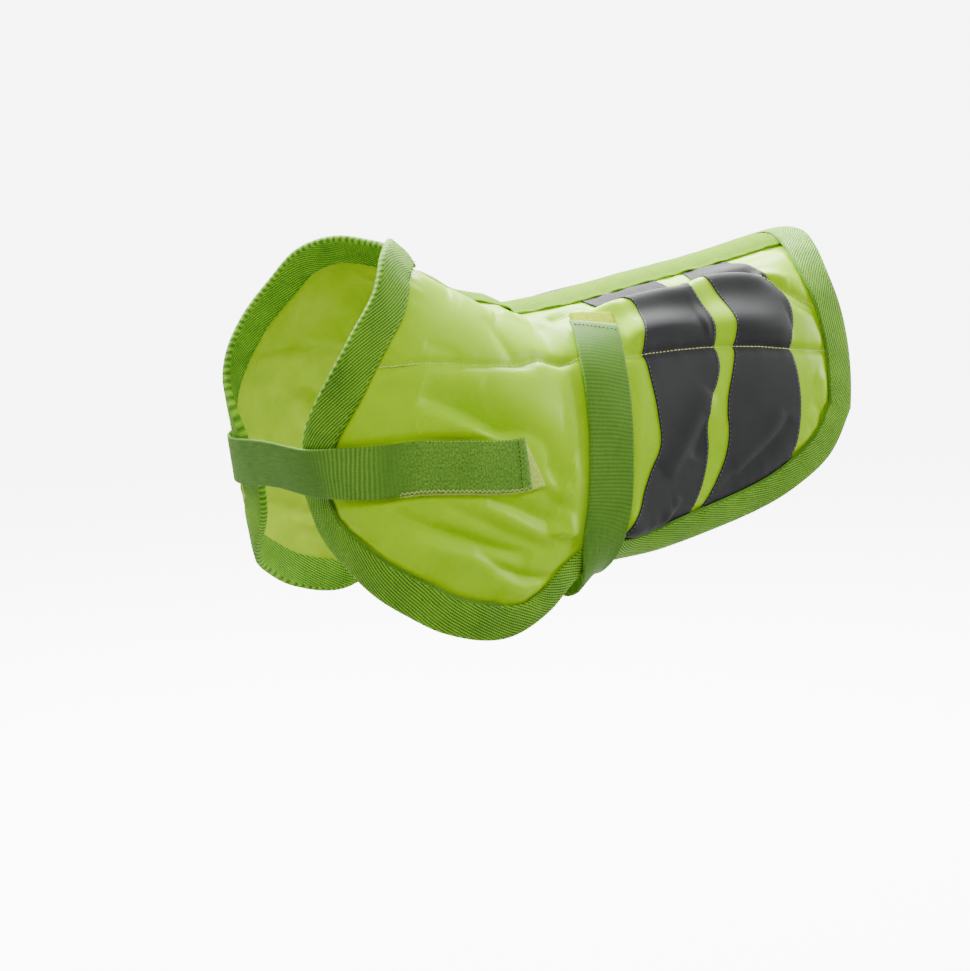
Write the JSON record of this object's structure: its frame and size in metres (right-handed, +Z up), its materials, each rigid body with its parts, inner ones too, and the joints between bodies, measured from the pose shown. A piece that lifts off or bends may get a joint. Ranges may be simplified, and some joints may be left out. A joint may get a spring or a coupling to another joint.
{
  "type": "dog coat",
  "caption": "High-visibility dog coat in its worn shape: quilted shell, taped spine, folded edge binding, reflective bands and webbing straps with hook-and-loop closure on the wearer's left.",
  "frame": {"origin": "inner face of the coat on the spine line, half way along the back", "axes": "+X along the back towards the tail, -Y towards the wearer's left, where the straps close, +Z up"},
  "size_m": [0.3824, 0.1789, 0.2066],
  "materials": {
    "shell_cloth": "coated woven polyester, fluorescent yellow-green, satin",
    "binding_tape": "herringbone tape, lime green, matte",
    "reflective_tape": "reflective tape, dark grey, low sheen",
    "strap_webbing": "woven webbing with fine cross ribs, mid green, matte",
    "chest_loop": "brushed loop tape, pale green, matte",
    "belly_loop": "brushed loop tape, yellow, matte"
  },
  "bodies": {
    "root": {"left_panel": "shell_cloth", "right_panel": "shell_cloth", "spine_tape": "binding_tape", "edge_binding": "binding_tape", "left_front_band": "reflective_tape", "left_rear_band": "reflective_tape", "right_front_band": "reflective_tape", "right_rear_band": "reflective_tape", "chest_strap": "strap_webbing", "belly_strap": "strap_webbing", "chest_loop_patch": "chest_loop", "belly_loop_patch": "belly_loop"}
  },
  "joints": []
}
